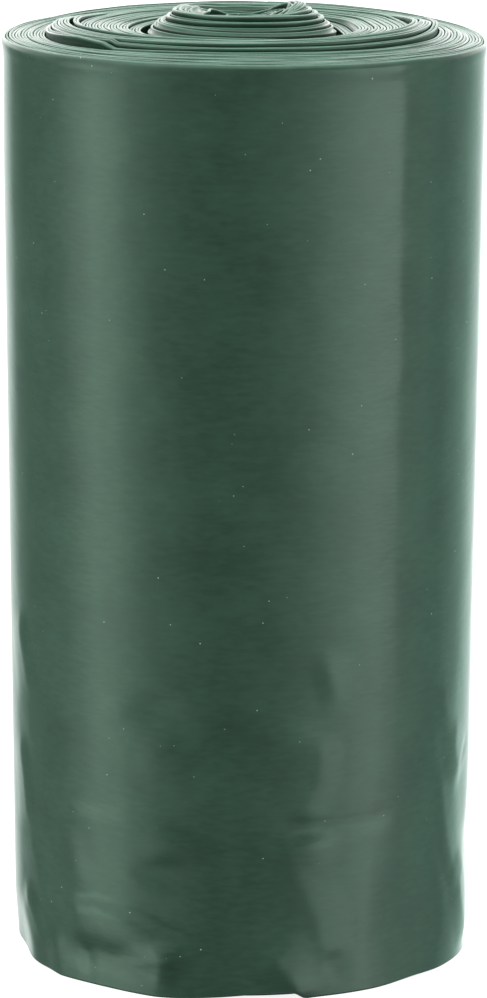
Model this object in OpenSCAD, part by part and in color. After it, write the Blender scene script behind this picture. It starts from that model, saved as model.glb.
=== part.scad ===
// A coreless roll of thin plastic bags, standing on its end.
// One long strip of flattened, folded bags is wound from the eye outwards. Its turns stand at
// slightly different heights, so the top end has a stepped cone with a crater at its centre, a
// sunken shelf round the cone, a raised band and a lower rim. The last turn is loose low down,
// where it is dented and its edge is a little crushed.

/* [Strip] */
// Width of the folded strip, which is the height of the standing roll
strip_w = 60; // [45:1:75]
// Thickness of one turn of the folded strip
strip_t = 0.32; // [0.24:0.02:0.44]
// Least air between one turn and the next
turn_gap = 0.08; // [0.07:0.01:0.14]
// Height of the rounded fold that edges the strip
fold_h = 0.16; // [0.05:0.01:0.3]

/* [Roll] */
// Diameter over the last turn at the top end
roll_d = 31.2; // [27:0.2:36]
// Share of the top diameter that is left at the bottom end
taper = 0.955; // [0.9:0.005:1]
// Width of the hollow that the first turn leaves
eye_d = 2.4; // [1.6:0.2:3.4]
// Where the strip ends on the outside, in degrees from +X
tail_angle = 84; // [40:1:130]

/* [Crater and cone] */
// Diameter of the crater's floor
floor_d = 6; // [4:0.2:7]
// Height of the crumpled turns on that floor, above the rim
eye_rise = 1; // [0.2:0.05:1.4]
// Diameter of the crater's lip, on top of the cone
crater_d = 8.8; // [8.2:0.2:10]
// Width of that lip
lip_w = 0.7; // [0.3:0.1:1.1]
// Height of that lip above the rim
crater_rise = 1.55; // [0.8:0.05:2.5]
// Diameter of the cone's foot
cone_d = 12.4; // [11.4:0.2:15]
// How uneven the edges of the crumpled turns are
crumple = 0.28; // [0:0.02:0.4]
// How far the hollow of the first turn is pinched into three lobes
lobe = 0.3; // [0:0.05:0.4]

/* [Shelf and band] */
// Height of the shelf between the cone and the raised band, above the rim
shelf_rise = 0.4; // [0:0.05:0.8]
// Depth of the moat in the shelf, at the cone's foot
moat = 0.25; // [0:0.05:0.5]
// Width of that moat
moat_w = 1; // [0.6:0.1:1.4]
// Inner diameter of the raised band
band_in_d = 21.4; // [19.6:0.2:22.6]
// Outer diameter of the raised band
band_out_d = 25; // [24:0.2:26.4]
// Height of the raised band above the rim
band_rise = 0.65; // [0:0.05:1.2]
// Where the strip steps up onto the band, in degrees from +X
band_from = 150; // [0:5:355]
// Where the strip steps down from the band, in degrees from +X
band_to = 228; // [0:1:355]
// How far the band's outer turn stands proud as a flap
flap_rise = 0.35; // [0:0.05:0.6]
// Height at which the turns outside the band begin, above the rim
rim_rise = 0.2; // [0:0.02:0.3]
// How far the wound core leans up at the front and down at the back
core_lean = 0.28; // [0:0.02:0.4]
// Width of the two slits at the cone's foot
foot_slit = 0.75; // [0:0.05:1]
// Width of the slits at the inside of the band
band_slit = 0.45; // [0:0.05:0.6]

/* [Lower end] */
// How far the whole lower edge tucks in
edge_tuck = 0.14; // [0:0.02:0.6]
// How much further the edge tucks in where it is crushed, on the left
crush_tuck = 0.15; // [0:0.05:1.4]
// Height over which the lower edge tucks in
tuck_h = 6; // [3:0.5:9]
// Air under the loose last turn, at its lower edge
slack = 0.55; // [0.1:0.05:0.7]
// Share of that air that the deepest dent takes up
dent = 0.8; // [0:0.05:0.9]
// How far the highest fold between the dents stands out
bulge = 0.2; // [0:0.02:0.3]

/* [Detail] */
// Straight facets in each of the first turns
seg_first = 18; // [16:2:20]
// Facets that each later group of turns adds
seg_step = 6; // [4:1:7]
// Number of turns in a group
seg_group = 9; // [8:1:12]
// Facets in the last turn, which shows on the outside
seg_last = 64; // [48:4:80]

/* [Hidden] */

film_green = [0.19, 0.33, 0.26];
roll_r = roll_d / 2;
cone_r = cone_d / 2;
crater_r = crater_d / 2;
band_in_r = band_in_d / 2;
band_out_r = band_out_d / 2;

// The strip's middle line winds from r_first to r_last. It starts at the front, and the number
// of turns is the most that leaves the least air and still ends at tail_angle.
start_angle = -90;
r_first = (eye_d + strip_t) / 2;
r_last = (roll_d - strip_t) / 2 + (strip_t + turn_gap) / 4;
part_turn = (tail_angle - start_angle) / 360;
turns = floor((r_last - r_first) / (strip_t + turn_gap) - part_turn) + part_turn;
pitch = (r_last - r_first) / turns;
end_t = 360 * turns;
loose_t = end_t - 360; // where the loose last turn begins

function sum(v, i = 0) = i < len(v) ? v[i] + sum(v, i + 1) : 0;
function smooth(x) = let (c = min(1, max(0, x))) c * c * (3 - 2 * c);
function away(a, b) = abs((a - b + 900) % 360 - 180);                // angle between directions
function bump(a, centre, half) = smooth(1 - away(a, centre) / half); // 1 at centre, 0 at half

// A station t is the angle wound since the first turn began
function mid_r(t) = r_first + pitch * t / 360;
function direction(t) = t + start_angle;
function turn_of(t) = floor(t / 360);
function turn_at(r) = floor((r - r_first) / pitch);
function station_at(r, a) = // the station in direction a that lies nearest to radius r
    let (part = (a - start_angle) / 360)
    360 * (round((r - r_first) / pitch - part) + part);
function segs(k) = seg_first + seg_step * floor(k / seg_group);

// Stations of the wound turns, finer as the turns grow, and then of the loose last turn
wound = [for (k = [0 : turn_of(loose_t)], j = [0 : segs(k) - 1])
    let (t = 360 * (k + j / segs(k)))
    if (t < loose_t - 180 / segs(k)) t];
loose = [for (i = [0 : seg_last]) loose_t + 360 * i / seg_last];

// Rise of the top edge above the rim by radius, leaving out the band
top_profile = [
    [0, eye_rise],
    [floor_d / 2, eye_rise],
    [crater_r - lip_w / 2, crater_rise],
    [crater_r + lip_w / 2, crater_rise],
    [cone_r, shelf_rise],
    [cone_r + moat_w / 2, shelf_rise - moat],
    [cone_r + moat_w, shelf_rise],
    [band_in_r, shelf_rise],
    [band_out_r, rim_rise],
    [roll_r, 0]];

// Rise of the bottom edge, which stands hollow under what is pushed up at the top
base_profile = [
    [0, eye_rise],
    [crater_r, crater_rise],
    [cone_r, shelf_rise],
    [band_in_r, shelf_rise / 2],
    [band_out_r, 0]];

// The core leans as a whole, and the turns outside the band fade to a level rim
function lean(r, a) = -core_lean * sin(a) * (1 - smooth((r - band_out_r) / (roll_r - band_out_r)));

// The band is the stretch of strip between two stations, with a short step at each. Its last
// turn stands proud as a flap, on the left towards the front.
step_deg = 8;
flap_at = 200;
flap_half = 40;
band_start = station_at(band_in_r, band_from);
band_end = station_at(band_out_r, band_to);
function stepped(t, at) = smooth((t - at) / step_deg + 0.5);
function on_band(t) = stepped(t, band_start) * (1 - stepped(t, band_end));
function flap(t) = flap_rise * bump(direction(t), flap_at, flap_half) * stepped(t, band_end - 360);
function band_z(t) = (band_rise - (shelf_rise + rim_rise) / 2 + flap(t)) * on_band(t);

// The crumpled edge is a sum of two waves that shift from turn to turn
function uneven(r, a) = crumple * smooth(1 - r / crater_r)
    * (sin(3 * a + 360 * r / crater_r) + 0.6 * sin(5 * a - 720 * r / crater_r));

function top_z(t) = let (r = mid_r(t), a = direction(t))
    strip_w + lookup(r, top_profile) + lean(r, a) + band_z(t) + uneven(r, a);
function base_z(r) = lookup(r, base_profile);

// A slit presses the turns inside it inwards and those outside it outwards, up to the rim
function parted(r, t, edge, open) = turn_of(t) <= turn_at(edge)
    ? r * (1 - open / 2 / edge)
    : r + open / 2 * (roll_r - r) / (roll_r - edge);
function foot_open(a) = foot_slit * max(bump(a, 22, 52), 0.75 * bump(a, 152, 40));
function band_open(a) = band_slit * max(bump(a, 160, 44), 0.5 * bump(a, 4, 22));
function lobed(r, a) = r + lobe * smooth(1 - r / crater_r) * cos(3 * a + 50);
function wound_r(r, t) =
    let (a = direction(t), by_foot = parted(r, t, cone_r, foot_open(a)))
    lobed(parted(by_foot, t, band_in_r, band_open(a)), a);

// The roll narrows in a straight line. Below that the loose turn tucks in along a curve, while
// the turns under it run straight from their top edge to their tighter lower edge.
crush_at = 196;
crush_half = 75;
grow = 40; // degrees over which the last turn comes loose
function up(z) = min(1, z / strip_w);
function narrowing(z) = taper + (1 - taper) * up(z);
function tuck(a) = edge_tuck + crush_tuck * bump(a, crush_at, crush_half);
function curve(z) = pow(max(0, 1 - z / tuck_h), 2);
function slack_at(t) = slack * smooth((t - loose_t) / grow);
function straight_in(a, z) = (tuck(a) + slack) * (1 - up(z));
function loose_in(a, t, z) = tuck(a) * curve(z) + (slack - slack_at(t)) * (1 - up(z));
function air(a, t, z) = straight_in(a, z) - loose_in(a, t, z);

// Dents of the loose turn: direction, height, half angle and half height, with heights as
// shares of the strip's width, and depth, which is less than 0 where a fold stands out
dents = [
    [236, 0.06, 22, 0.07, 1.0],
    [262, 0.11, 26, 0.06, -0.8],
    [222, 0.17, 18, 0.10, -1.0],
    [205, 0.25, 16, 0.14, 0.9],
    [284, 0.04, 13, 0.05, -0.9],
    [300, 0.15, 22, 0.09, 0.8],
    [331, 0.24, 24, 0.10, 1.0],
    [318, 0.07, 20, 0.07, -0.8],
    [352, 0.32, 20, 0.10, -0.7],
    [10, 0.12, 26, 0.10, 0.7],
    [45, 0.20, 30, 0.12, -0.6],
    [130, 0.14, 30, 0.12, 0.8]];
tail_quiet = 24; // degrees from the tail in which nothing is dented
function dent_sum(a, z) = sum([for (d = dents)
    d[4] * bump(a, d[0], d[2]) * smooth(1 - abs(up(z) - d[1]) / d[3])]);
function dented(a, t, z) =
    let (s = dent_sum(a, z) * (1 - bump(a, tail_angle, tail_quiet)))
    s > 0 ? -dent * min(1, s) * air(a, t, z) : bulge * min(1, -s);

// A point of the strip: r is its radius in the wound roll before the roll narrows and is tucked
function place(r, t, z, is_loose) =
    let (a = direction(t),
         moved = is_loose ? dented(a, t, z) - loose_in(a, t, z) : -straight_in(a, z),
         rr = wound_r(r, t) * (narrowing(z) + moved / roll_r))
    [rr * cos(a), rr * sin(a), z];

// Heights of the loose turn's points between its two edges, closer together low down
levels = [for (i = [1 : 9]) strip_w * pow(i / 10, 1.8)];

// A station's section, as a loop: up the outside, over the fold and down the inside
function section(t, mids) =
    let (r = mid_r(t), ro = r + strip_t / 2, ri = r - strip_t / 2,
         zb = base_z(r), zt = top_z(t), is_loose = len(mids) > 0)
    concat(
        [place(ro, t, zb, is_loose)],
        [for (z = mids) place(ro, t, z, is_loose)],
        [for (p = [[ro, zt - fold_h], [r, zt], [ri, zt - fold_h]]) place(p[0], t, p[1], is_loose)],
        [for (i = [len(mids) - 1 : -1 : 0]) place(ri, t, mids[i], is_loose)],
        [place(ri, t, zb, is_loose)]);

wound_n = 5;
loose_n = wound_n + 2 * len(levels);
function loose_first(i) = wound_n * len(wound) + loose_n * i;

// Two triangles for each side of the stretch between two sections p and q of n points each.
// Every face runs clockwise seen from outside.
function stretch(p, q, n) = [for (j = [0 : n - 1]) let (k = (j + 1) % n)
    each [[p + j, q + k, q + j], [p + j, p + k, q + k]]];

// The step from the last wound section p to the first loose one q: a fan along each wall, and
// two triangles for each side elsewhere
function step_stretch(p, q) =
    let (m = len(levels), top = q + m + 1)
    concat(
        [for (j = [0 : m]) [p, q + j + 1, q + j]],
        [[p, p + 1, top]],
        [for (j = [0, 1]) each [
            [p + 1 + j, top + 1 + j, top + j], [p + 1 + j, p + 2 + j, top + 1 + j]]],
        [for (j = [0 : m]) [p + 3, top + 3 + j, top + 2 + j]],
        [[p + 3, p + 4, q + loose_n - 1]],
        [[p + 4, q, q + loose_n - 1], [p + 4, p, q]]);

// The strip's end across a loose section q, and its start across the wound section 0
function end_face(q) =
    let (m = len(levels) + 1, last = q + loose_n - 1)
    concat(
        [for (j = [0 : m - 1]) each [
            [q + j, q + j + 1, last - j], [q + j + 1, last - j - 1, last - j]]],
        [[q + m, q + m + 1, q + m + 2]]);
start_face = [[0, 2, 1], [0, 3, 2], [0, 4, 3]];

module bag_roll() {
    points = concat(
        [for (t = wound) each section(t, [])],
        [for (t = loose) each section(t, levels)]);
    faces = concat(
        start_face,
        [for (i = [0 : len(wound) - 2]) each stretch(wound_n * i, wound_n * (i + 1), wound_n)],
        step_stretch(wound_n * (len(wound) - 1), loose_first(0)),
        [for (i = [0 : seg_last - 1]) each stretch(loose_first(i), loose_first(i + 1), loose_n)],
        end_face(loose_first(seg_last)));
    color(film_green) polyhedron(points, faces, convexity = 40);
}

bag_roll();
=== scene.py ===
"""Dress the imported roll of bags: its film turns, its loose last turn and a plain studio.

The roll is one strip of flattened, folded film wound into a spiral. Each turn shows two rounded
lips at both ends of the roll, because the film is folded in. The strip is made in two pieces: the
wound turns, and the last turn, which is loose and dented low down.
"""
import logging
from dataclasses import dataclass, field
from enum import Enum
from math import radians
from typing import Callable

import bpy
import numpy as np
from mathutils import Matrix
from numpy.typing import NDArray


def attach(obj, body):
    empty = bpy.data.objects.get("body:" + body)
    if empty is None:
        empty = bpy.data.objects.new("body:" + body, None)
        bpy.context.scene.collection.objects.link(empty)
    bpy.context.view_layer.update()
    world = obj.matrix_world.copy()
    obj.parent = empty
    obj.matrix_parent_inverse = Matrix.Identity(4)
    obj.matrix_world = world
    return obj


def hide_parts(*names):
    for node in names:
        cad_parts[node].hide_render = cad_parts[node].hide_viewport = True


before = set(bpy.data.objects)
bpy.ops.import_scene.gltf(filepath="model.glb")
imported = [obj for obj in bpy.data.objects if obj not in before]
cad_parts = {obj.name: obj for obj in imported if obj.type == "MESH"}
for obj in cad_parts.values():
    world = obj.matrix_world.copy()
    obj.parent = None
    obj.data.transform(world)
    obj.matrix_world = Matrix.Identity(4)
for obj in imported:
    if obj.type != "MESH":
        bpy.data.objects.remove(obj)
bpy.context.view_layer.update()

Array = NDArray[np.float64]
Place = Callable[[Array, Array, Array, Array], Array]
Pair = tuple[float, float]
Pairs = tuple[Pair, ...]
Color = tuple[float, float, float, float]
WHITE: Color = (1.0, 1.0, 1.0, 1.0)
MM = 0.001
WALL_R = 14.9  # radius at which the loose turn's folds are laid out
CREASE = 0.06  # share of a fold's reach over which its crease is rounded
FLANK = 1.3  # power by which the flanks of a crease fall off, where 1 is straight
FADE = 1.8  # length over which a fold fades at both ends
LOG = logging.getLogger("bag_roll")


def smooth(x: Array) -> Array:
    """Cubic step of x: 0 below 0, 1 above 1, and three x squared less two x cubed between."""
    c = np.clip(x, 0.0, 1.0)
    return c * c * (3.0 - 2.0 * c)


def away(a: Array, b: float) -> Array:
    """Angle between the directions a and b, in degrees from 0 to 180."""
    return np.abs((a - b + 180.0) % 360.0 - 180.0)


def bump(a: Array, centre: float, half: float) -> Array:
    """Smooth hump over directions: 1 at the centre, 0 from half the width away."""
    return smooth(1.0 - away(a, centre) / half)


def ripple(s: Array, waves: Pairs, phase: float) -> Array:
    """Sum of sine waves along s.

    Args:
        s: Distance along the strip, in mm.
        waves: Height and length of each wave. The lengths share no common multiple with a
            turn, so neighbouring turns never move together.
        phase: Shift of the first wave. Each further wave shifts by once more as much.

    Returns:
        The sum of height times the sine of the shift plus a full turn for each length.
    """
    total = np.zeros_like(s)
    for number, (height, length) in enumerate(waves, start=1):
        total = total + height * np.sin(2.0 * np.pi * s / length + number * phase)
    return total


class Side(Enum):
    """The four directions in which the top end's heights are known, in degrees from +X."""

    RIGHT = 0.0
    BACK = 90.0
    LEFT = 180.0
    FRONT = 270.0


@dataclass(frozen=True)
class Slit:
    """An air gap between two turns, which presses its inside inwards and its outside outwards.

    Args:
        radius: Radius of the turn inside the slit.
        centre: Direction of its widest place, in degrees.
        half: Angle from there to its end, in degrees.
        width: Its widest opening.
        depth: How far down from the top edge it reaches, or 0 where it runs all the way.
    """

    radius: float
    centre: float
    half: float
    width: float
    depth: float = 0.0


@dataclass(frozen=True)
class Dent:
    """A round dent of the loose turn, or a bulge where its depth is negative.

    Args:
        at: Direction of its centre, in degrees.
        z: Height of its centre.
        half_a: Angle from its centre to its edge, in degrees.
        half_z: Height from its centre to its edge.
        depth: Depth at its centre.
    """

    at: float
    z: float
    half_a: float
    half_z: float
    depth: float

    def push(self, a: Array, z: Array) -> Array:
        """Inward push: the depth times a cubic hump over how far a point is from the centre."""
        turn = (a - self.at + 180.0) % 360.0 - 180.0
        return self.depth * smooth(1.0 - np.hypot(turn / self.half_a, (z - self.z) / self.half_z))


@dataclass(frozen=True)
class Fold:
    """A fold along a line on the loose turn: a valley, or a ridge where its depth is negative.

    Args:
        path: Direction in degrees and height of each point of the line.
        left: How far the fold reaches to the left of the way along the line, in mm.
        right: The same to the right.
        depth: Depth along the line's middle.
        crisp: Whether the line itself is a sharp crease.
    """

    path: Pairs
    left: float
    right: float
    depth: float
    crisp: bool = True

    def push(self, a: Array, z: Array) -> Array:
        """Inward push at the directions a and heights z.

        On the unrolled wall the push falls off with the distance from the nearest stretch of the
        line, over the reach on that side: by a power of what is left of the reach for a crease,
        and by a cubic step for a soft fold. It fades at both ends of the line.
        """
        apart, across, gone, done = np.full_like(z, np.inf), np.zeros_like(z), np.zeros_like(z), 0.0
        for (a0, z0), (a1, z1) in zip(self.path, self.path[1:]):
            u = np.radians(WALL_R) * ((a - a0 + 180.0) % 360.0 - 180.0) + 0.0 * z
            v = z - z0
            du, dv = np.radians(WALL_R) * (a1 - a0), z1 - z0
            length = np.hypot(du, dv)
            share = np.clip((du * u + dv * v) / length**2, 0.0, 1.0)
            way = np.hypot(u - share * du, v - share * dv)
            closer = way < apart
            apart = np.where(closer, way, apart)
            across = np.where(closer, (du * v - dv * u) / length, across)
            gone = np.where(closer, done + share * length, gone)
            done = done + length
        wide = self.right + (self.left - self.right) * smooth(across / (self.left + self.right) + 0.5)
        near = np.sqrt((apart / wide) ** 2 + CREASE**2) - CREASE
        rest = np.clip(1.0 - near, 0.0, 1.0)
        ends = smooth(np.minimum(gone, done - gone) / min(FADE, done / 2.0))
        return self.depth * ends * (rest**FLANK if self.crisp else smooth(rest))


@dataclass(frozen=True)
class Lift:
    """A stretch where the loose turn's lower edge lies above the floor.

    Args:
        at: Direction of its highest place, in degrees.
        before: Angle over which it rises.
        after: Angle over which it falls again.
        rise: Height of its highest place.
    """

    at: float
    before: float
    after: float
    rise: float

    def raised(self, a: Array) -> Array:
        """Height of the edge: a cubic hump with its own width on each side."""
        turn = (a - self.at + 180.0) % 360.0 - 180.0
        return self.rise * smooth(1.0 - np.abs(turn) / np.where(turn < 0.0, self.before, self.after))


@dataclass(frozen=True)
class RollSizes:
    """Driving sizes of the roll in mm and degrees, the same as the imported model's."""

    strip_w: float = 60.0
    strip_t: float = 0.32
    turn_gap: float = 0.08
    roll_d: float = 31.2
    taper: float = 0.955
    eye_d: float = 2.4
    tail_angle: float = 84.0
    start_angle: float = -90.0
    crater_d: float = 8.8
    band_in_d: float = 21.4
    band_out_d: float = 25.0
    band_from: float = 150.0
    band_to: float = 228.0
    edge_tuck: float = 0.14
    crush_tuck: float = 0.15
    crush_at: float = 196.0
    crush_half: float = 75.0
    tuck_h: float = 6.0
    slack: float = 0.55
    grow: float = 40.0

    @property
    def roll_r(self) -> float:
        """Radius of the roll over its last turn."""
        return self.roll_d / 2.0

    @property
    def r_first(self) -> float:
        """Radius at which the middle of the strip begins."""
        return (self.eye_d + self.strip_t) / 2.0

    @property
    def r_last(self) -> float:
        """Radius at which the middle of the strip ends."""
        return (self.roll_d - self.strip_t) / 2.0 + (self.strip_t + self.turn_gap) / 4.0

    @property
    def turns(self) -> float:
        """Number of turns: the most that leave the least air and end at the tail's angle."""
        part = (self.tail_angle - self.start_angle) / 360.0
        room = (self.r_last - self.r_first) / (self.strip_t + self.turn_gap)
        return np.floor(room - part) + part

    @property
    def pitch(self) -> float:
        """Growth of the radius with each turn."""
        return (self.r_last - self.r_first) / self.turns

    @property
    def end_t(self) -> float:
        """Angle wound in all, in degrees."""
        return 360.0 * self.turns


@dataclass
class TopEdge:
    """Height of the strip's upper edge over the rim, from the crater to the last turn.

    Args:
        sizes: Sizes of the roll.
        spokes: For each side, pairs of radius and rise from the centre to the rim.
        rim: Pairs of direction and rise of the outermost turns.
        rim_from: Radius at which the turns begin to follow the rim.
        band_level: Pairs of direction and rise of the raised band over the turns beside it.
        band_outer: The same for its outermost turn.
        step_deg: Angle over which the strip steps up or down at the band's ends.
        sway: Slow waves along the strip, which set each turn a little higher or lower.
        rough: Waves of the crumpled first turns.
    """

    sizes: RollSizes
    spokes: dict[Side, Pairs] = field(default_factory=lambda: {
        Side.RIGHT: ((0, 0.7), (1.6, 0.9), (2.6, 1.5), (3.3, 1.95), (3.9, 1.95), (4.37, 1.68),
                     (4.6, 1.55), (5.2, 1.1), (5.7, 0.75), (5.95, 0.5), (6.2, -0.1), (7.1, -0.1),
                     (7.3, 0.3), (10.5, 0.45), (12.4, 0.1), (12.8, 0.0), (15.6, -0.3)),
        Side.BACK: ((0, 0.7), (2.6, 0.5), (3.6, 0.7), (4.2, 1.25), (4.7, 1.2), (5.4, 0.8),
                    (6.2, 0.4), (10.5, 0.3), (12.4, 0.12), (15.6, 0.0)),
        Side.LEFT: ((0, 0.8), (2.4, 0.9), (3.4, 1.45), (4.1, 1.6), (4.58, 1.62), (4.8, 1.5),
                    (4.96, 1.3), (5.24, 1.05), (5.74, 0.8), (6.0, 0.6), (6.25, 0.2), (6.9, 0.12),
                    (7.4, 0.35), (10.5, 0.5), (12.4, 0.1), (12.7, -0.1), (15.6, -0.1)),
        Side.FRONT: ((0, 0.7), (2.6, 0.75), (3.6, 1.15), (4.2, 1.5), (4.7, 1.6), (5.0, 1.38),
                     (5.3, 1.1), (5.6, 0.86), (5.9, 0.62), (6.2, 0.4), (6.6, 0.34), (8.5, 0.42),
                     (10.5, 0.52), (12.4, 0.36), (12.7, 0.3), (15.6, 0.0)),
    })
    rim: Pairs = (
        (0, -0.4), (20, -0.36), (42, -0.26), (65, -0.06), (90, 0.04), (120, 0.0), (146, -0.16),
        (165, -0.12), (180, -0.1), (225, -0.04), (270, 0.0), (315, -0.06), (340, -0.26))
    rim_from: float = 13.0
    band_level: Pairs = (
        (0, 0.54), (14, 0.34), (30, 0.08), (50, 0.02), (140, 0.02), (158, 0.16), (172, 0.36),
        (228, 0.42), (270, 0.42), (320, 0.48))
    band_outer: Pairs = (
        (0, 0.52), (16, 0.42), (32, 0.08), (50, 0.02), (140, 0.02), (165, 0.1), (190, 0.2),
        (204, 0.38), (214, 0.46), (222, 0.36), (228, 0.26), (250, 0.2), (290, 0.2), (330, 0.24),
        (350, 0.36))
    step_deg: float = 2.5
    sway: Pairs = ((0.03, 61.0), (0.028, 37.7), (0.022, 143.0), (0.012, 7.3))
    rough: Pairs = ((0.26, 17.0), (0.22, 11.3), (0.18, 6.1), (0.1, 2.9))

    def base(self, r: Array, a: Array) -> Array:
        """Rise at radius r and direction a, without the band.

        Each side gives a rise by straight lines between its pairs. Between two sides the rise
        passes from one to the other by a cubic step over the quarter turn. Towards the rim it
        passes to the rim's own rise.
        """
        sides = sorted(self.spokes, key=lambda side: side.value)
        rises = [np.interp(r, *np.array(self.spokes[side], dtype=float).T) for side in sides]
        quarter = (a % 360.0) / 90.0
        low = np.floor(quarter).astype(int) % 4
        share = smooth(quarter - np.floor(quarter))
        stack = np.stack(rises)
        before = np.take_along_axis(stack, low[None], 0)[0]
        after = np.take_along_axis(stack, ((low + 1) % 4)[None], 0)[0]
        inner = before + (after - before) * share
        rim = np.interp(a, *np.array(self.rim, dtype=float).T, period=360.0)
        return inner + (rim - inner) * smooth((r - self.rim_from) / (self.sizes.roll_r - self.rim_from))

    def station_at(self, radius: float, angle: float) -> float:
        """The wound angle in the given direction that lies nearest to the given radius."""
        part = (angle - self.sizes.start_angle) / 360.0
        return 360.0 * (np.round((radius - self.sizes.r_first) / self.sizes.pitch - part) + part)

    def band(self, t: Array, a: Array) -> Array:
        """Rise of the band, which is the stretch of strip between two stations.

        It steps up at the first and down at the second. Its rise follows the direction, and its
        outermost turn has a rise of its own.
        """
        start = self.station_at(self.sizes.band_in_d / 2.0, self.sizes.band_from)
        end = self.station_at(self.sizes.band_out_d / 2.0, self.sizes.band_to)
        on = smooth((t - start) / self.step_deg + 0.5) * (1.0 - smooth((t - end) / self.step_deg + 0.5))
        outer = smooth((t - end + 360.0) / self.step_deg + 0.5)
        level = np.interp(a, *np.array(self.band_level, dtype=float).T, period=360.0)
        edge = np.interp(a, *np.array(self.band_outer, dtype=float).T, period=360.0)
        return on * (level + (edge - level) * outer)

    def height(self, r: Array, t: Array, a: Array, s: Array, phase: float) -> Array:
        """Height of a lip's crest over the floor.

        Args:
            r: Radius of the lip in the wound roll.
            t: Angle wound so far, in degrees.
            a: Direction, in degrees.
            s: Distance along the strip.
            phase: Shift of the lip's small waves, so that the two lips of a turn differ.

        Returns:
            Strip width, plus the rise by radius, the band and small waves that grow towards the
            crumpled first turns.
        """
        crumpled = smooth(1.2 - 2.0 * r / self.sizes.crater_d)
        sway, rough = ripple(s, self.sway, phase), ripple(s, self.rough, phase)
        return self.sizes.strip_w + self.base(r, a) + self.band(t, a) + sway + crumpled * rough


@dataclass
class Winding:
    """Where a point of the strip lies in the roll.

    Args:
        sizes: Sizes of the roll.
        slits: Air gaps between turns.
        lobe: How far the first turns are pinched into three lobes.
        crumple: Height of the waves that push the first turns about in plan.
    """

    sizes: RollSizes
    slits: tuple[Slit, ...] = (
        Slit(6.2, 22.0, 52.0, 0.75),
        Slit(6.2, 170.0, 40.0, 0.62),
        Slit(10.7, 160.0, 44.0, 0.45),
        Slit(11.2, 12.0, 22.0, 0.2, 4.0),
        Slit(11.7, 14.0, 20.0, 0.24, 4.0),
        Slit(12.1, 16.0, 18.0, 0.22, 4.0),
        Slit(15.1, 152.0, 52.0, 0.4, 9.0),
    )
    lobe: float = 0.34
    crumple: float = 0.34

    def mid_r(self, t: Array) -> Array:
        """Radius of the strip's middle line after t degrees of winding."""
        return self.sizes.r_first + self.sizes.pitch * t / 360.0

    def direction(self, t: Array) -> Array:
        """Direction of the station t, in degrees from +X."""
        return t + self.sizes.start_angle

    def distance(self, t: Array) -> Array:
        """Distance along the strip: the angle in radians times the mean radius so far."""
        return np.radians(t) * (self.sizes.r_first + self.mid_r(t)) / 2.0

    def opened(self, r: Array, t: Array, depth: Array) -> Array:
        """Radius after the slits have parted the turns.

        A turn inside a slit shrinks in proportion to its radius. One outside it moves out by
        half the opening, and less towards the rim, which stays where it is.
        """
        a = self.direction(t)
        turn = np.floor(t / 360.0)
        for slit in self.slits:
            at = np.floor((slit.radius - self.sizes.r_first) / self.sizes.pitch)
            fade = smooth(1.0 - depth / slit.depth) if slit.depth else 1.0
            half = 0.5 * slit.width * bump(a, slit.centre, slit.half) * fade
            inner = r * (1.0 - half / slit.radius)
            outer = r + half * (self.sizes.roll_r - r) / (self.sizes.roll_r - slit.radius)
            r = np.where(turn <= at, inner, outer)
        return r

    def plan(self, r: Array, t: Array, depth: Array) -> tuple[Array, Array]:
        """Radius and direction in plan, with slits, lobes and crumples, before the roll narrows.

        The crumples are sine waves over the plan in three directions. They fade from the eye to
        the crater's lip, and are shallow enough that no two turns cross.
        """
        a = self.direction(t)
        fade = smooth(1.0 - 2.0 * r / (self.sizes.crater_d + 1.0))
        r = self.opened(r, t, depth) + self.lobe * fade * np.cos(np.radians(3.0 * a + 50.0))
        x, y = r * np.cos(np.radians(a)), r * np.sin(np.radians(a))
        push = self.crumple * fade
        dx = push * (np.sin(1.9 * y + 0.6) + 0.5 * np.sin(3.1 * x - 1.7 * y + 2.0))
        dy = push * (np.sin(1.7 * x + 1.9) + 0.5 * np.sin(2.3 * x + 2.9 * y))
        return np.hypot(x + dx, y + dy), a + np.degrees(
            np.arctan2(x * dy - y * dx, x * (x + dx) + y * (y + dy)))

    def tuck(self, a: Array) -> Array:
        """How far the lower edge tucks in: everywhere a little, and more where it is crushed."""
        s = self.sizes
        return s.edge_tuck + s.crush_tuck * bump(a, s.crush_at, s.crush_half)

    def narrowed(self, r: Array, z: Array, moved: Array) -> Array:
        """Radius after the roll narrows downwards in a straight line and is pushed by moved."""
        s = self.sizes
        up = np.minimum(1.0, z / s.strip_w)
        return r * (s.taper + (1.0 - s.taper) * up + moved / s.roll_r)

    def place_wound(self, r: Array, t: Array, z: Array, depth: Array) -> Array:
        """Points of the wound turns, which run straight from the top edge to the lower edge."""
        s = self.sizes
        rr, a = self.plan(r, t, depth)
        down = 1.0 - np.minimum(1.0, z / s.strip_w)
        rr = self.narrowed(rr, z, -(self.tuck(self.direction(t)) + s.slack) * down)
        return np.stack([rr * np.cos(np.radians(a)), rr * np.sin(np.radians(a)), z], axis=-1) * MM


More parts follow.
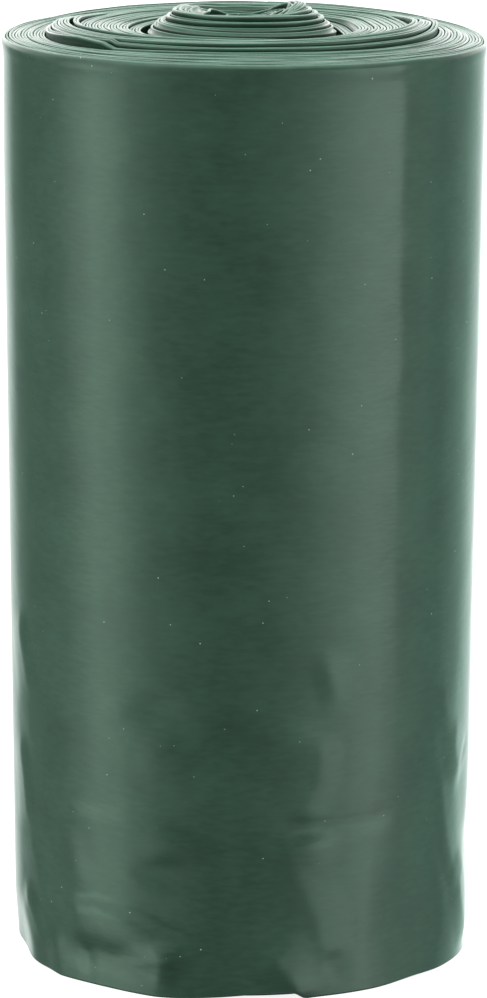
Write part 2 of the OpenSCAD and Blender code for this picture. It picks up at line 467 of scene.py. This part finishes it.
@dataclass
class LastTurn:
    """How the loose last turn leaves the straight wall of the turns under it.

    Args:
        winding: The roll's winding.
        dents: Round dents and bulges of the turn.
        folds: Folds and creases of the turn.
        lifts: Where its lower edge lies above the floor.
        flare: How far its shoulder stands out.
        flare_h: Height over which it does so.
        lean: How far its upper edge leans in over the shoulder.
        lean_h: Height over which it does so.
        lean_at: Direction in which it leans in most.
        hem_share: How much of the turns' tuck its lower edge takes part in.
        air_share: The most of the air under the turn that a dent may take up.
    """

    winding: Winding
    dents: tuple[Dent, ...] = (
        Dent(191.0, -0.5, 17.0, 4.8, 0.45),
        Dent(238.0, 18.4, 6.0, 1.4, -0.04),
        Dent(250.0, 18.9, 9.0, 1.6, 0.13),
        Dent(252.0, 15.4, 10.0, 2.6, -0.1),
        Dent(254.0, 10.0, 10.0, 1.3, -0.09),
        Dent(251.0, 8.0, 10.0, 1.5, 0.13),
        Dent(283.0, 17.4, 9.0, 1.3, -0.07),
        Dent(288.0, 9.8, 9.0, 1.5, -0.13),
        Dent(316.0, 4.5, 16.0, 7.0, 0.22),
        Dent(341.0, 2.6, 22.0, 6.0, -0.22),
        Dent(352.0, 7.4, 14.0, 2.2, 0.06),
        Dent(10.0, 7.2, 26.0, 6.0, 0.2),
        Dent(45.0, 12.0, 30.0, 7.2, -0.12),
        Dent(130.0, 8.4, 30.0, 7.2, 0.24),
    )
    folds: tuple[Fold, ...] = (
        Fold(((197.5, 23.4), (201.2, 20.9), (203.7, 19.6), (206.6, 17.4)), 1.2, 3.0, -0.16),
        Fold(((203.4, 17.8), (204.7, 15.6), (207.4, 14.2)), 0.8, 1.6, -0.04),
        Fold(((197.0, 15.2), (200.7, 12.7), (202.4, 11.0), (204.2, 8.6)), 1.2, 2.6, -0.14),
        Fold(((203.0, 9.0), (207.5, 7.2), (209.5, 6.1), (211.6, 4.2)), 1.0, 2.0, -0.09),
        Fold(((199.0, 5.2), (204.7, 3.9), (207.7, 3.0), (209.8, 2.4), (212.8, 1.0)), 1.0, 2.8, -0.2),
        Fold(((221.0, 10.4), (224.0, 8.4), (228.5, 5.6)), 1.6, 1.6, -0.08, False),
        Fold(((220.0, 11.2), (236.0, 10.9), (258.0, 10.9)), 1.0, 2.6, -0.07),
        Fold(((220.0, 4.2), (232.0, 4.6), (241.0, 4.3), (248.0, 3.7), (259.0, 2.2)), 1.5, 2.6, -0.26, False),
        Fold(((218.0, 2.0), (232.0, 2.1), (243.0, 1.8), (253.0, 1.4)), 1.4, 1.4, 0.08, False),
        Fold(((229.2, 2.9), (228.8, 1.6), (228.6, 0.2)), 0.9, 0.9, 0.08),
        Fold(((215.5, 3.4), (217.5, 1.8), (219.5, 0.0), (220.5, -2.0)), 2.6, 1.6, -0.22),
        Fold(((248.5, 4.0), (251.0, 2.4), (249.5, 0.0), (248.5, -2.0)), 3.2, 3.6, -0.32),
        Fold(((290.0, 23.0), (292.6, 20.6), (295.4, 18.6)), 1.8, 1.2, -0.12),
        Fold(((288.5, 17.6), (289.8, 16.2), (289.5, 14.4), (286.5, 12.8), (282.5, 11.2)), 1.6, 2.4, -0.13),
        Fold(((280.0, 11.4), (296.0, 11.4), (312.0, 11.6)), 0.6, 1.2, 0.07),
        Fold(((279.5, 11.0), (282.0, 9.4), (285.4, 7.4), (289.0, 5.4), (290.8, 3.0), (291.0, 1.0)),
             2.4, 2.6, -0.16),
        Fold(((275.6, 4.0), (279.5, 2.4), (283.5, 1.0), (287.0, -0.8)), 2.6, 2.0, -0.38),
        Fold(((283.0, 2.3), (292.0, 2.1), (301.0, 2.1)), 1.3, 1.8, 0.12, False),
        Fold(((297.8, 3.8), (300.4, 3.5)), 0.3, 0.3, 0.06),
        Fold(((328.6, 19.8), (331.6, 16.9), (334.8, 15.2)), 2.6, 1.0, -0.08),
        Fold(((339.8, 16.6), (336.2, 15.0), (336.9, 13.9), (341.8, 11.7)), 2.6, 1.7, -0.13),
        Fold(((350.0, 14.4), (343.8, 13.8), (339.6, 13.0)), 0.5, 0.5, 0.06),
        Fold(((328.2, 13.8), (330.8, 10.6), (332.8, 8.8), (335.0, 7.3), (340.0, 4.8)), 3.0, 1.0, -0.11),
        Fold(((347.5, 6.8), (341.0, 5.4), (341.3, 4.3), (345.2, 2.0), (346.8, 0.2)), 2.2, 1.7, -0.12),
        Fold(((262.0, 5.2), (268.0, 7.8)), 1.4, 1.4, -0.03, False),
    )
    lifts: tuple[Lift, ...] = (
        Lift(283.0, 30.0, 4.0, 0.48),
        Lift(320.0, 14.0, 12.0, 0.1),
    )
    flare: float = 0.14
    flare_h: float = 1.2
    lean: float = 0.2
    lean_h: float = 0.7
    lean_at: float = 224.0
    hem_share: float = 0.3
    air_share: float = 0.9

    def place(self, r: Array, t: Array, z: Array, depth: Array) -> Array:
        """Points of the last turn.

        Its lower edge tucks in along a curve, the square of how far a point is below the tuck's
        height. The air under the turn is the difference to the straight wall, and a dent never
        takes up more than its share of that air.
        """
        w, s = self.winding, self.winding.sizes
        rr, a = w.plan(r, t, depth)
        way = w.direction(t)
        down = 1.0 - np.minimum(1.0, z / s.strip_w)
        curve = np.maximum(0.0, 1.0 - z / s.tuck_h) ** 2
        loose = s.slack * smooth((t - s.end_t + 360.0) / s.grow)
        straight = (w.tuck(way) + s.slack) * down
        own = self.hem_share * w.tuck(way) * curve + (s.slack - loose) * down
        air = self.air_share * (straight - own)
        push = sum(form.push(way, z) for form in (*self.dents, *self.folds))
        quiet = 1.0 - bump(way, s.tail_angle, 24.0)
        push = np.minimum(push * quiet, air)
        flare = self.flare * smooth(1.0 - depth / self.flare_h) * (1.0 - 0.7 * bump(way, 0.0, 70.0))
        lean = self.lean * (0.5 + 0.5 * bump(way, self.lean_at, 70.0))
        lean = lean * np.maximum(0.0, 1.0 - depth / self.lean_h) ** 2
        rr = w.narrowed(rr, z, flare - lean - own - push)
        return np.stack([rr * np.cos(np.radians(a)), rr * np.sin(np.radians(a)), z], axis=-1) * MM


@dataclass(frozen=True)
class Lip:
    """One rounded lip of the folded edge; each value may also be an array over the stations.

    Args:
        crest: Distance of its crest from the strip's middle line, outwards.
        half: Half of its width.
        height: Height of its rounding.
    """

    crest: float | Array
    half: float | Array
    height: float | Array

    def toward(self, other: "Lip", share: Array) -> "Lip":
        """The lip that lies by the given share on the way from this one to another."""
        return Lip(*(own + (its - own) * share for own, its in (
            (self.crest, other.crest), (self.half, other.half), (self.height, other.height))))

    def arc(self, top: Array) -> tuple[Array, Array]:
        """The lip from its outer shoulder to its inner one: half an ellipse in five points.

        Args:
            top: Height of the crest at each station.

        Returns:
            Offsets and heights, with a row for each station.
        """
        angle = np.radians(np.linspace(0.0, 180.0, 5))
        crest, half, height = (np.reshape(value, (-1, 1)) for value in (self.crest, self.half, self.height))
        z = top[:, None] - height * (1.0 - np.sin(angle))
        return crest + half * np.cos(angle) + 0.0 * z, z


@dataclass(frozen=True)
class LipShape:
    """Section of the folded edge: two rounded lips with a groove between them.

    Args:
        outer: The outer lip.
        inner: The inner lip.
        groove: Depth of the groove under the lower of the two shoulders.
        foot: Height of the rounding at the lower edge.
        knee: Height of the stretch under the lips that may lean.
    """

    outer: Lip = Lip(0.1, 0.088, 0.06)
    inner: Lip = Lip(-0.1, 0.088, 0.06)
    groove: float = 0.26
    foot: float = 0.07
    knee: float = 1.6


def strip_mesh(name: str, points: Array, edge: Array) -> bpy.types.Object:
    """Make a closed strip from a grid of stations and section points.

    Args:
        name: Name of the new object.
        points: Grid of points: stations, then the closed section loop, then x, y and z.
        edge: Edge value of each point, from -1 where shade is painted to 1 at a lighter
            folded edge.

    Returns:
        The object, with four-sided faces along the strip, a flat face at both ends, and the
        edge values in an attribute of that name.
    """
    n, m = points.shape[:2]
    i, j = np.meshgrid(np.arange(n - 1), np.arange(m), indexing="ij")
    k = (j + 1) % m
    quads = np.stack([i * m + j, (i + 1) * m + j, (i + 1) * m + k, i * m + k], axis=-1).reshape(-1, 4)
    first = np.arange(m)
    last = (n - 1) * m + np.arange(m)[::-1]
    loops = np.concatenate([quads.ravel(), first, last]).astype(np.int32)
    starts = np.concatenate([np.arange(len(quads)) * 4, [len(quads) * 4, len(quads) * 4 + m]])
    mesh = bpy.data.meshes.new(name)
    mesh.vertices.add(n * m)
    mesh.vertices.foreach_set("co", points.reshape(-1))
    mesh.loops.add(len(loops))
    mesh.loops.foreach_set("vertex_index", loops)
    mesh.polygons.add(len(starts))
    mesh.polygons.foreach_set("loop_start", starts.astype(np.int32))
    mesh.polygons.foreach_set("use_smooth", np.arange(len(starts)) < len(quads))
    mesh.update(calc_edges=True)
    attribute = mesh.attributes.new("edge", "FLOAT", "POINT")
    attribute.data.foreach_set("value", edge.reshape(-1).astype(np.float32))
    mesh.validate()
    piece = bpy.data.objects.new(name, mesh)
    bpy.context.scene.collection.objects.link(piece)
    return piece


class Nodes:
    """Short ways to add and link shader nodes in one tree."""

    def __init__(self, tree: bpy.types.NodeTree) -> None:
        """Start with an empty tree."""
        self.tree = tree
        tree.nodes.clear()

    def add(self, kind: str, **settings: object) -> bpy.types.Node:
        """Add a node.

        Args:
            kind: Blender's name of the node's type.
            **settings: Properties of the node.

        Returns:
            The new node.
        """
        node = self.tree.nodes.new(kind)
        for key, value in settings.items():
            setattr(node, key, value)
        return node

    def feed(self, node: bpy.types.Node, **inputs: object) -> bpy.types.Node:
        """Fill a node's inputs, by link where the value is a socket.

        Args:
            node: The node to fill.
            **inputs: Input names, with underscores for spaces, or i0, i1 for input numbers.

        Returns:
            The same node.
        """
        for key, value in inputs.items():
            numbered = key[0] == "i" and key[1:].isdigit()
            socket = node.inputs[int(key[1:])] if numbered else node.inputs[key.replace("_", " ")]
            if isinstance(value, bpy.types.NodeSocket):
                self.tree.links.new(value, socket)
            else:
                socket.default_value = value
        return node

    def math(self, operation: str, *values: object, clamp: bool = False) -> bpy.types.NodeSocket:
        """Add a Math node on the given values and return its result."""
        node = self.add("ShaderNodeMath", operation=operation, use_clamp=clamp)
        self.feed(node, **{f"i{i}": value for i, value in enumerate(values)})
        return node.outputs[0]

    def mix_color(self, share: object, first: object, second: object) -> bpy.types.NodeSocket:
        """Mix two colours by a share and return the result."""
        node = self.add("ShaderNodeMix", data_type="RGBA")
        self.feed(node, i0=share, i6=first, i7=second)
        return node.outputs[2]

    def noise(self, vector: object, scale: float, detail: float = 2.0) -> bpy.types.NodeSocket:
        """Add a Noise node of the given scale and return its value, about 0.5 on average."""
        node = self.add("ShaderNodeTexNoise")
        self.feed(node, Vector=vector, Scale=scale, Detail=detail)
        return node.outputs[0]


@dataclass(frozen=True)
class FilmFinish:
    """Satin green plastic film, with faint streaks along the strip and specks of dust.

    Args:
        green: Colour of the film where it is wound tight.
        painted_wall_shade: Painted shade on the walls between the turns, where little light comes in.
        lip: Colour at the folded edges: partly the thinner film's own lighter green, partly
            painted light that comes through its fewer layers.
        dust: Colour of the specks.
        sheen: Tint of the reflection, which passes through the outermost film and back.
        roughness: Roughness of the clean film.
        edge_roughness: How much rougher the folded edges are.
        streak_m: Depth of the streaks that run along the strip.
        wrinkle_m: Depth of the soft wrinkles.
        mottle: How many blotches there are to a metre.
        grain: The same for the streaks, across them.
        wrinkles: The same for the wrinkles.
        specks: The same for the cells that may hold a speck.
        speck_size: Most of a cell that a speck can take up.
    """

    green: Color = (0.021, 0.053, 0.0345, 1.0)
    painted_wall_shade: Color = (0.006, 0.022, 0.013, 1.0)
    lip: Color = (0.043, 0.12, 0.08, 1.0)
    dust: Color = (0.42, 0.5, 0.45, 1.0)
    sheen: Color = (0.74, 1.0, 0.86, 1.0)
    roughness: float = 0.14
    edge_roughness: float = 0.18
    streak_m: float = 0.000007
    wrinkle_m: float = 0.00006
    mottle: float = 260.0
    grain: float = 3400.0
    wrinkles: float = 210.0
    specks: float = 900.0
    speck_size: float = 0.052

    def build(self) -> bpy.types.Material:
        """Make the film's material.

        Returns:
            A material whose patterns read Object coordinates, so that they run on from one
            piece of the strip to the other, and whose lighter folded edges and painted shade
            between the turns read the edge attribute.
        """
        material = bpy.data.materials.new("film")
        material.use_nodes = True
        n = Nodes(material.node_tree)
        where = n.add("ShaderNodeTexCoord").outputs["Object"]
        flat = n.feed(n.add("ShaderNodeMapping"), Vector=where, Scale=(0.3, 0.3, 1.0)).outputs[0]
        edge = n.add("ShaderNodeAttribute", attribute_name="edge").outputs["Fac"]

        mottle = n.noise(where, self.mottle, 3.0)
        grain = n.noise(flat, self.grain, 3.0)
        both = n.math("ADD", mottle, n.math("MULTIPLY", grain, 0.7))
        shade = n.feed(n.add("ShaderNodeMapRange"), Value=both, From_Min=0.55, From_Max=1.15,
                       To_Min=0.76, To_Max=1.24).outputs[0]
        # Painted shade: darker colour on the walls between the turns, where the edge value is below 0.
        wall = n.mix_color(n.math("MULTIPLY", edge, -1.0, clamp=True), self.green, self.painted_wall_shade)
        # Folded edges in a lighter green: partly the film's own colour, partly painted light.
        base = n.mix_color(n.math("ADD", edge, 0.0, clamp=True), wall, self.lip)
        tinted = n.feed(n.add("ShaderNodeVectorMath", operation="SCALE"), i0=base, Scale=shade).outputs[0]

        cells = n.feed(n.add("ShaderNodeTexVoronoi", feature="F1"), Vector=where, Scale=self.specks)
        size = n.math("MULTIPLY", n.noise(where, 700.0, 0.0), self.speck_size)
        speck = n.math("LESS_THAN", cells.outputs["Distance"], size)
        color = n.mix_color(speck, tinted, self.dust)
        rough = n.math("ADD", n.math("MULTIPLY", both, 0.08), self.roughness - 0.068)
        rough = n.math("ADD", n.math("MULTIPLY", n.math("ABSOLUTE", edge), self.edge_roughness), rough)

        streaks = n.add("ShaderNodeBump")
        n.feed(streaks, Strength=1.0, Distance=self.streak_m, Height=grain)
        wrinkles = n.add("ShaderNodeBump")
        n.feed(wrinkles, Strength=1.0, Distance=self.wrinkle_m, Height=n.noise(where, self.wrinkles, 1.0),
               Normal=streaks.outputs[0])

        shader = n.add("ShaderNodeBsdfPrincipled")
        n.feed(shader, Base_Color=color, Roughness=rough, IOR=1.5, Specular_Tint=self.sheen,
               Normal=wrinkles.outputs[0])
        out = n.add("ShaderNodeOutputMaterial")
        n.feed(out, Surface=shader.outputs[0])
        return material


@dataclass
class BagRoll:
    """The roll: its wound turns and its loose last turn, both of one strip of film.

    Args:
        sizes: Sizes of the roll.
        lips: Section of the folded edges.
        rim: Section of the last turn's upper edge, which is fuller.
        single: Section where a turn shows one thick lip; its groove is how far the inner lip is
            folded down.
        single_from: Radius at which the thick lips begin.
        single_to: Radius at which they end.
        finish: The film.
        station_steps: Pairs of radius and distance between stations.
        last_stations: Number of stations of the last turn.
        wall_levels: Number of levels on its outer wall.
        inner_levels: Number of levels on its inner wall.
        tuck_under: How far the last turn begins under the tail, in degrees.
    """

    sizes: RollSizes = field(default_factory=RollSizes)
    lips: LipShape = LipShape()
    rim: LipShape = LipShape(Lip(0.05, 0.13, 0.36), Lip(-0.12, 0.05, 0.1))
    single: LipShape = LipShape(Lip(0.05, 0.15, 0.12), Lip(-0.14, 0.04, 0.04), 0.12)
    single_from: float = 3.9
    single_to: float = 5.3
    finish: FilmFinish = field(default_factory=FilmFinish)
    station_steps: Pairs = ((0.0, 0.26), (5.0, 0.32), (9.0, 0.45), (16.0, 0.55))
    last_stations: int = 400
    wall_levels: int = 150
    inner_levels: int = 40
    tuck_under: float = 6.0

    def __post_init__(self) -> None:
        """Work out the winding and the edges from the sizes."""
        self.winding = Winding(self.sizes)
        self.top = TopEdge(self.sizes)
        self.last = LastTurn(self.winding)
        self.split_t = self.sizes.end_t - 360.0 - self.tuck_under

    def stations(self) -> Array:
        """Wound angles of the stations, up to where the last turn begins.

        The number of stations in a stretch is its length over the step for its radius.
        """
        t = np.linspace(0.0, self.split_t, 40000)
        step = np.interp(self.winding.mid_r(t), *np.array(self.station_steps).T)
        count = np.concatenate([[0.0], np.cumsum(np.diff(self.winding.distance(t)) / step[1:])])
        return np.interp(np.linspace(0.0, count[-1], int(count[-1])), count, t)

    def base_height(self, r: Array) -> Array:
        """Height of the lower edge: the core stands hollow under what is pushed up at the top."""
        radius = (0.0, self.sizes.crater_d / 2.0, 6.2, self.sizes.band_in_d / 2.0,
                  self.sizes.band_out_d / 2.0)
        return np.interp(r, radius, (1.0, 1.55, 0.4, 0.2, 0.0))

    def singled(self, r: Array) -> Array:
        """How far a turn shows one thick lip: 1 high on the cone, and 0 elsewhere."""
        low, high = self.single_from, self.single_to
        return smooth((r - low) / 0.3) * (1.0 - smooth((r - high) / 0.5))

    def section(self, t: Array, foot: Array, levels: tuple[Array, Array], place: Place,
                lips: LipShape, inside: float) -> tuple[Array, Array]:
        """Points of the strip's closed section at every station.

        The loop runs up the outer wall, over the two lips, down the inner wall and round the
        lower edge.

        Args:
            t: Wound angle of each station.
            foot: Height of the lower edge at each station.
            levels: Levels of the outer and the inner wall as shares of its height, from 0 to 1.
            place: Turns radius, wound angle, height and depth under the edge into points.
            lips: Section of the upper edge.
            inside: 1 where the walls lie between other turns and get painted shade, and 0
                where they face outwards.

        Returns:
            The grid of points, and the edge value of each: 1 at a folded edge, painted a
            lighter green, 0 on an outer wall and -1 on a wall between the turns, painted with shade.
        """
        w, half = self.winding, self.sizes.strip_t / 2.0
        r, a, s = w.mid_r(t), w.direction(t), w.distance(t)
        single = self.singled(r)
        outer = lips.outer.toward(self.single.outer, single)
        inner = lips.inner.toward(self.single.inner, single)
        tops = [self.top.height(r + outer.crest, t, a, s, 0.4),
                self.top.height(r + inner.crest, t, a, s, 2.9) - self.single.groove * single]
        one = np.ones((len(t), 1))

        def wall(offset: float, top: Array, shares: Array, lip: Lip) -> tuple[Array, Array]:
            """Points on a wall between the lower rounding and the shoulder of its lip."""
            low, high = foot + lips.foot, top - lip.height
            z = low[:, None] + (high - low)[:, None] * shares[None]
            return np.full_like(z, offset), z

        shoulder = np.minimum(tops[0] - outer.height, tops[1] - inner.height)
        middle = np.reshape(outer.crest - outer.half, (-1, 1))
        parts = [
            wall(half, tops[0], levels[0], outer),
            outer.arc(tops[0]),
            (middle * one, (shoulder - lips.groove)[:, None]),
            inner.arc(tops[1]),
            wall(-half, tops[1], levels[1][::-1], inner),
            (-half / 2.0 * one, foot[:, None]),
            (0.0 * one, foot[:, None] + 1.5 * lips.foot),
            (half / 2.0 * one, foot[:, None])]
        offset = np.concatenate([part[0] for part in parts], axis=1)
        z = np.concatenate([part[1] for part in parts], axis=1)
        depth = np.maximum(0.0, np.maximum(*tops)[:, None] - z)
        spread = np.broadcast_to(t[:, None], z.shape)
        points = place(r[:, None] + offset, spread, z, depth)
        # Edge value: 1 at the folded edges, painted lighter; falls to -1 on walls between the turns, for
        # painted shade.
        edge = smooth(1.0 - depth / 0.16) + smooth(1.0 - (z - foot[:, None]) / 0.15)
        return points, np.clip(edge, 0.0, 1.0) - smooth((depth - 0.05) / 0.2) * inside

    def build_wound(self) -> bpy.types.Object:
        """Make the wound turns."""
        t = self.stations()
        depths = (self.lips.knee, 0.4, 0.15)
        levels = np.array([0.0, *(1.0 - depth / self.sizes.strip_w for depth in depths)])
        foot = self.base_height(self.winding.mid_r(t))
        place = self.winding.place_wound
        points, edge = self.section(t, foot, (levels, levels), place, self.lips, 1.0)
        return strip_mesh("wound_turns", points, edge)

    def build_last(self) -> bpy.types.Object:
        """Make the loose last turn, with levels that crowd towards its dented lower part."""
        t = np.linspace(self.split_t, self.sizes.end_t, self.last_stations)
        shares = [np.linspace(0.0, 1.0, number, endpoint=False) ** 1.35
                  for number in (self.wall_levels, self.inner_levels)]
        foot = sum(lift.raised(self.winding.direction(t)) for lift in self.last.lifts)
        points, edge = self.section(t, foot, (shares[0], shares[1]), self.last.place, self.rim, 0.0)
        return strip_mesh("last_turn", points, edge)

    def dress(self) -> list[bpy.types.Object]:
        """Build both pieces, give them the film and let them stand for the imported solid.

        Returns:
            The pieces.
        """
        film = self.finish.build()
        pieces = [self.build_wound(), self.build_last()]
        for piece in pieces:
            piece.data.materials.append(film)
            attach(piece, "root")
            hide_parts("bag_roll")
        return pieces


@dataclass
class Studio:
    """Plain white surroundings: a pale floor, a white backdrop and two tall soft lights.

    Each ring of light holds pairs of azimuth and brightness. Azimuth 0 is the front, and +90 is
    the roll's right.

    Args:
        upper_ring: Light that the roll's wall mirrors near its top.
        lower_ring: Light that it mirrors near the floor.
        sky_ring: Light round the roll above the horizon.
        tints: Pairs of azimuth and colour of the light, greener behind the roll's sides.
        top_light: Brightness overhead.
        top_tint: Colour of the light above the horizon.
        under_light: Brightness from far below the horizon.
        floor_gray: Share of the light that the floor gives back.
        floor_glow: What it adds for the camera, so that it looks white.
        floor_size: Length of the floor's sides, in metres.
        camera_at: Place of the camera, in mm.
        pitch: How far the camera looks down, in degrees.
        tilt: How far it is turned about its line of sight, in degrees.
        lens: Its focal length in mm.
    """

    upper_ring: Pairs = (
        (-180, 1.2), (-168, 1.4), (-156, 1.25), (-144, 0.45), (-130, 0.35), (-112, 0.55),
        (-99, 1.05), (-89, 2.1), (-76, 3.2), (-65, 2.8), (-55, 1.6), (-43, 0.8), (-30, 0.4),
        (-14, 0.3), (2, 0.35), (17, 0.6), (32, 1.2), (48, 2.3), (62, 2.95), (80, 3.1), (83, 1.05),
        (98, 1.15), (112, 0.75), (135, 0.85), (147, 1.1), (160, 1.4), (180, 1.2))
    lower_ring: Pairs = (
        (-180, 1.15), (-168, 1.2), (-156, 1.1), (-144, 0.6), (-130, 0.5), (-112, 0.7),
        (-99, 0.9), (-89, 1.3), (-76, 2.4), (-65, 2.3), (-55, 1.6), (-43, 1.0), (-30, 0.7),
        (-14, 0.35), (2, 0.4), (17, 0.6), (32, 1.0), (48, 1.75), (60, 2.2), (70, 2.25), (77, 1.65),
        (90, 1.15), (112, 0.7), (135, 1.0), (147, 1.6), (160, 1.5), (180, 0.9))
    sky_ring: Pairs = (
        (-180, 3.0), (-150, 2.2), (-120, 1.3), (-95, 1.0), (-76, 2.0), (-60, 2.0), (-35, 0.9),
        (0, 0.3), (35, 0.7), (60, 1.4), (80, 1.2), (95, 0.7), (120, 1.0), (150, 2.0), (180, 3.0))
    tints: tuple[tuple[float, Color], ...] = (
        (-180, (0.95, 1.0, 0.98, 1.0)), (-160, (0.86, 1.0, 0.94, 1.0)), (-140, (0.72, 1.0, 0.88, 1.0)),
        (-110, (0.75, 1.0, 0.88, 1.0)), (-85, (0.9, 1.0, 0.93, 1.0)), (-45, (0.92, 1.0, 0.94, 1.0)),
        (-15, WHITE), (80, WHITE), (105, (0.72, 1.0, 0.92, 1.0)),
        (140, (0.68, 1.0, 0.88, 1.0)), (160, (0.84, 1.0, 0.95, 1.0)), (180, (0.95, 1.0, 0.98, 1.0)))
    top_light: float = 2.35
    top_tint: Color = (0.98, 0.98, 0.97, 1.0)
    under_light: float = 0.25
    floor_gray: float = 0.3
    floor_glow: float = 0.88
    floor_size: float = 3.0
    camera_at: tuple[float, float, float] = (0.16, -362.1, 107.8)
    pitch: float = 12.207
    tilt: float = 0.26
    lens: float = 205.44

    def color_ring(self, n: Nodes, share: bpy.types.NodeSocket,
                   colors: tuple[tuple[float, Color], ...]) -> bpy.types.NodeSocket:
        """Colour round the roll, straight between its pairs.

        Args:
            n: The world's nodes.
            share: Azimuth as a share of the full turn, from 0 at the back to 1.
            colors: Pairs of azimuth and colour.

        Returns:
            The colour.
        """
        ramp = n.add("ShaderNodeValToRGB")
        stops = ramp.color_ramp.elements
        for angle, color in colors:
            stops.new(angle / 360.0 + 0.5).color = color
        stops.remove(stops[0])
        stops.remove(stops[len(stops) - 1])
        return n.feed(ramp, Fac=share).outputs[0]

    def ring(self, n: Nodes, share: bpy.types.NodeSocket, lights: Pairs) -> bpy.types.NodeSocket:
        """Brightness of a ring of light: a grey ring times the brightest of its lights.

        Args:
            n: The world's nodes.
            share: Azimuth as a share of the full turn, from 0 at the back to 1.
            lights: Pairs of azimuth and brightness.

        Returns:
            The brightness.
        """
        brightest = max(light for _, light in lights)
        grays = tuple((angle, (light / brightest,) * 3 + (1.0,)) for angle, light in lights)
        return n.math("MULTIPLY", self.color_ring(n, share, grays), brightest)

    def build_world(self) -> None:
        """Light the roll from all round by azimuth and height.

        With the height the light passes from the under light over the lower, the upper and the
        sky ring to the top light, by cubic steps. The camera and clear things see plain white.
        """
        world = bpy.data.worlds.new("studio")
        bpy.context.scene.world = world
        world.use_nodes = True
        n = Nodes(world.node_tree)
        xyz = n.add("ShaderNodeSeparateXYZ")
        n.feed(xyz, Vector=n.add("ShaderNodeTexCoord").outputs["Generated"])
        azimuth = n.math("ARCTAN2", xyz.outputs[0], n.math("MULTIPLY", xyz.outputs[1], -1.0))
        share = n.feed(n.add("ShaderNodeMapRange"), Value=azimuth, From_Min=-np.pi, From_Max=np.pi)

        def step(start: float, end: float) -> bpy.types.NodeSocket:
            """Share from 0 to 1 between two heights."""
            return n.feed(n.add("ShaderNodeMapRange", interpolation_type="SMOOTHSTEP"),
                          Value=xyz.outputs[2], From_Min=start, From_Max=end).outputs[0]

        def passing(low: object, high: object, start: float, end: float) -> bpy.types.NodeSocket:
            """Light that passes from one to another between two heights."""
            return n.feed(n.add("ShaderNodeMix"), i0=step(start, end), i2=low, i3=high).outputs[0]

        rings = [self.ring(n, share.outputs[0], ring)
                 for ring in (self.lower_ring, self.upper_ring, self.sky_ring)]
        level = passing(rings[0], rings[1], -0.3, -0.12)
        level = passing(level, rings[2], -0.1, 0.1)
        level = passing(level, self.top_light, 0.35, 0.75)
        level = passing(self.under_light, level, -0.7, -0.36)
        path = n.add("ShaderNodeLightPath")
        seen = n.math("MAXIMUM", path.outputs["Is Camera Ray"], path.outputs["Is Transmission Ray"])
        level = n.feed(n.add("ShaderNodeMix"), i0=seen, i2=level, i3=1.0).outputs[0]
        above = step(-0.1, 0.1)
        tint = n.mix_color(above, self.color_ring(n, share.outputs[0], self.tints), self.top_tint)
        tint = n.mix_color(seen, tint, WHITE)
        sky = n.feed(n.add("ShaderNodeBackground"), Color=tint, Strength=level)
        n.feed(n.add("ShaderNodeOutputWorld"), Surface=sky.outputs[0])

    def build_floor(self) -> None:
        """Lay a pale floor that the camera sees as white with the roll's faint shadow."""
        half = self.floor_size / 2.0
        corners = np.array([[-1, -1, 0], [1, -1, 0], [1, 1, 0], [-1, 1, 0]]) * half
        mesh = bpy.data.meshes.new("floor")
        mesh.from_pydata(corners.tolist(), [], [[0, 1, 2, 3]])
        floor = bpy.data.objects.new("floor", mesh)
        bpy.context.scene.collection.objects.link(floor)
        material = bpy.data.materials.new("pale_floor")
        material.use_nodes = True
        n = Nodes(material.node_tree)
        path = n.add("ShaderNodeLightPath")
        seen = n.math("MAXIMUM", path.outputs["Is Camera Ray"], path.outputs["Is Transmission Ray"])
        gray = (self.floor_gray,) * 3 + (1.0,)
        paint = n.feed(n.add("ShaderNodeBsdfDiffuse"), Color=gray)
        glow = n.feed(n.add("ShaderNodeEmission"), Color=WHITE,
                      Strength=n.math("MULTIPLY", seen, self.floor_glow))
        both = n.add("ShaderNodeAddShader")
        n.feed(both, i0=paint.outputs[0], i1=glow.outputs[0])
        n.feed(n.add("ShaderNodeOutputMaterial"), Surface=both.outputs[0])
        mesh.materials.append(material)
        floor.visible_glossy = False

    def build_camera(self) -> None:
        """Set the camera where the photograph was taken from, looking down on the roll."""
        data = bpy.data.cameras.new("camera")
        data.lens = self.lens
        data.sensor_width = 36.0
        data.clip_start = 0.01
        camera = bpy.data.objects.new("camera", data)
        camera.location = [v * MM for v in self.camera_at]
        down = Matrix.Rotation(radians(90.0 - self.pitch), 3, "X")
        turn = down @ Matrix.Rotation(radians(self.tilt), 3, "Z")
        camera.rotation_euler = turn.to_euler()
        bpy.context.scene.collection.objects.link(camera)
        bpy.context.scene.camera = camera

    def build(self) -> None:
        """Build the whole studio."""
        self.build_world()
        self.build_floor()
        self.build_camera()
        bpy.context.scene.view_settings.view_transform = "Standard"


def main() -> None:
    """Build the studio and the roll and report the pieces."""
    logging.basicConfig(level=logging.INFO, format="%(name)s: %(message)s")
    Studio().build()
    for piece in BagRoll().dress():
        piece.data.calc_loop_triangles()
        LOG.info("%s: %d triangles", piece.name, len(piece.data.loop_triangles))


if __name__ == "__main__":
    main()
